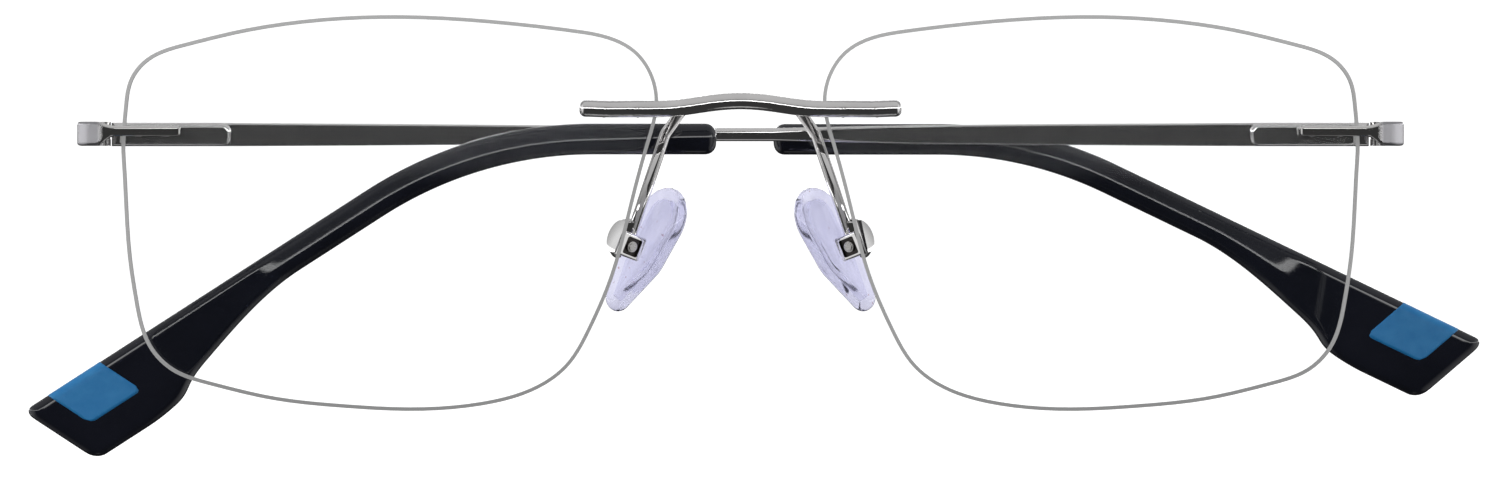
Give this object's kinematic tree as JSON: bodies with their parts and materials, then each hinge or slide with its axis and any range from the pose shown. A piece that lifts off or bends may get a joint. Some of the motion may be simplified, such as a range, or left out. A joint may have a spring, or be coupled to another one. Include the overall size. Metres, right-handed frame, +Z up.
{
  "type": "rimless eyeglasses",
  "caption": "Rimless eyeglasses with clear drilled lenses, a polished bridge bar, silicone nose pads, spring-hinged slim metal temples and black tips with a blue inlay.",
  "frame": {"origin": "midway between the two nose pads, where the glasses rest on the nose", "axes": "+X to the wearer's left, +Y backwards towards the wearer's face, +Z up; the temples are folded at rest"},
  "size_m": [0.1464, 0.0192, 0.0446],
  "materials": {
    "lens": "clear polished lens with a fine ground edge",
    "polished_metal": "bright rhodium plating, mirror polished",
    "screw_metal": "turned stainless steel",
    "sleeve_plastic": "clear nylon",
    "pad_silicone": "clear soft silicone with a faint violet tint",
    "pad_insert": "clear hard insert",
    "spring_steel": "drawn spring wire",
    "tip_plastic": "deep black polished acetate",
    "inlay_plastic": "blue enamel inlay"
  },
  "bodies": {
    "front": {"lens_left": "lens", "lens_right": "lens", "bridge_bar": "polished_metal", "bridge_bushings": "sleeve_plastic", "bridge_nuts": "screw_metal", "pad_arm_left": "polished_metal", "pad_arm_right": "polished_metal", "pad_screws": "screw_metal", "endpiece_left": "polished_metal", "endpiece_right": "polished_metal", "endpiece_bushings": "sleeve_plastic", "endpiece_caps": "screw_metal", "hinge_screws": "screw_metal"},
    "left_nose_pad": {"nose_pad_left": "pad_silicone", "pad_core_left": "pad_insert"},
    "right_nose_pad": {"nose_pad_right": "pad_silicone", "pad_core_right": "pad_insert"},
    "left_hinge_tongue": {"hinge_tongue_left": "screw_metal", "tongue_spring_left": "spring_steel", "spring_stop_left": "screw_metal"},
    "left_temple": {"spring_casing_left": "polished_metal", "temple_arm_left": "polished_metal", "temple_tip_left": "tip_plastic", "tip_inlay_left": "inlay_plastic"},
    "right_hinge_tongue": {"hinge_tongue_right": "screw_metal", "tongue_spring_right": "spring_steel", "spring_stop_right": "screw_metal"},
    "right_temple": {"spring_casing_right": "polished_metal", "temple_arm_right": "polished_metal", "temple_tip_right": "tip_plastic", "tip_inlay_right": "inlay_plastic"}
  },
  "joints": [
    {"name": "left_temple_fold", "type": "hinge", "parent": "front", "child": "left_hinge_tongue", "pos_m": [0.0643, -0.002, 0.0119], "axis": [0, 0, -1], "range_deg": [0, 90]},
    {"name": "right_temple_fold", "type": "hinge", "parent": "front", "child": "right_hinge_tongue", "pos_m": [-0.0643, -0.002, 0.0119], "axis": [0, 0, 1], "range_deg": [0, 86.2]},
    {"name": "left_temple_flex", "type": "slide", "parent": "left_hinge_tongue", "child": "left_temple", "axis": [-1, 0, 0], "range_m": [0, 0.0012], "stiffness_N_per_m": 2500, "springref_m": -0.0004, "deforming": ["tongue_spring_left"]},
    {"name": "right_temple_flex", "type": "slide", "parent": "right_hinge_tongue", "child": "right_temple", "axis": [0.9978, 0.0663, 0], "range_m": [0, 0.0012], "stiffness_N_per_m": 2500, "springref_m": -0.0004, "deforming": ["tongue_spring_right"]},
    {"name": "left_pad_rock", "type": "hinge", "parent": "front", "child": "left_nose_pad", "pos_m": [0.0114, -0.00147, 0.00083], "axis": [0.5128, 0.8332, 0.2072], "range_deg": [-10, 10]},
    {"name": "right_pad_rock", "type": "hinge", "parent": "front", "child": "right_nose_pad", "pos_m": [-0.0114, -0.00147, 0.00083], "axis": [-0.5128, 0.8332, 0.2072], "range_deg": [-10, 10]}
  ]
}
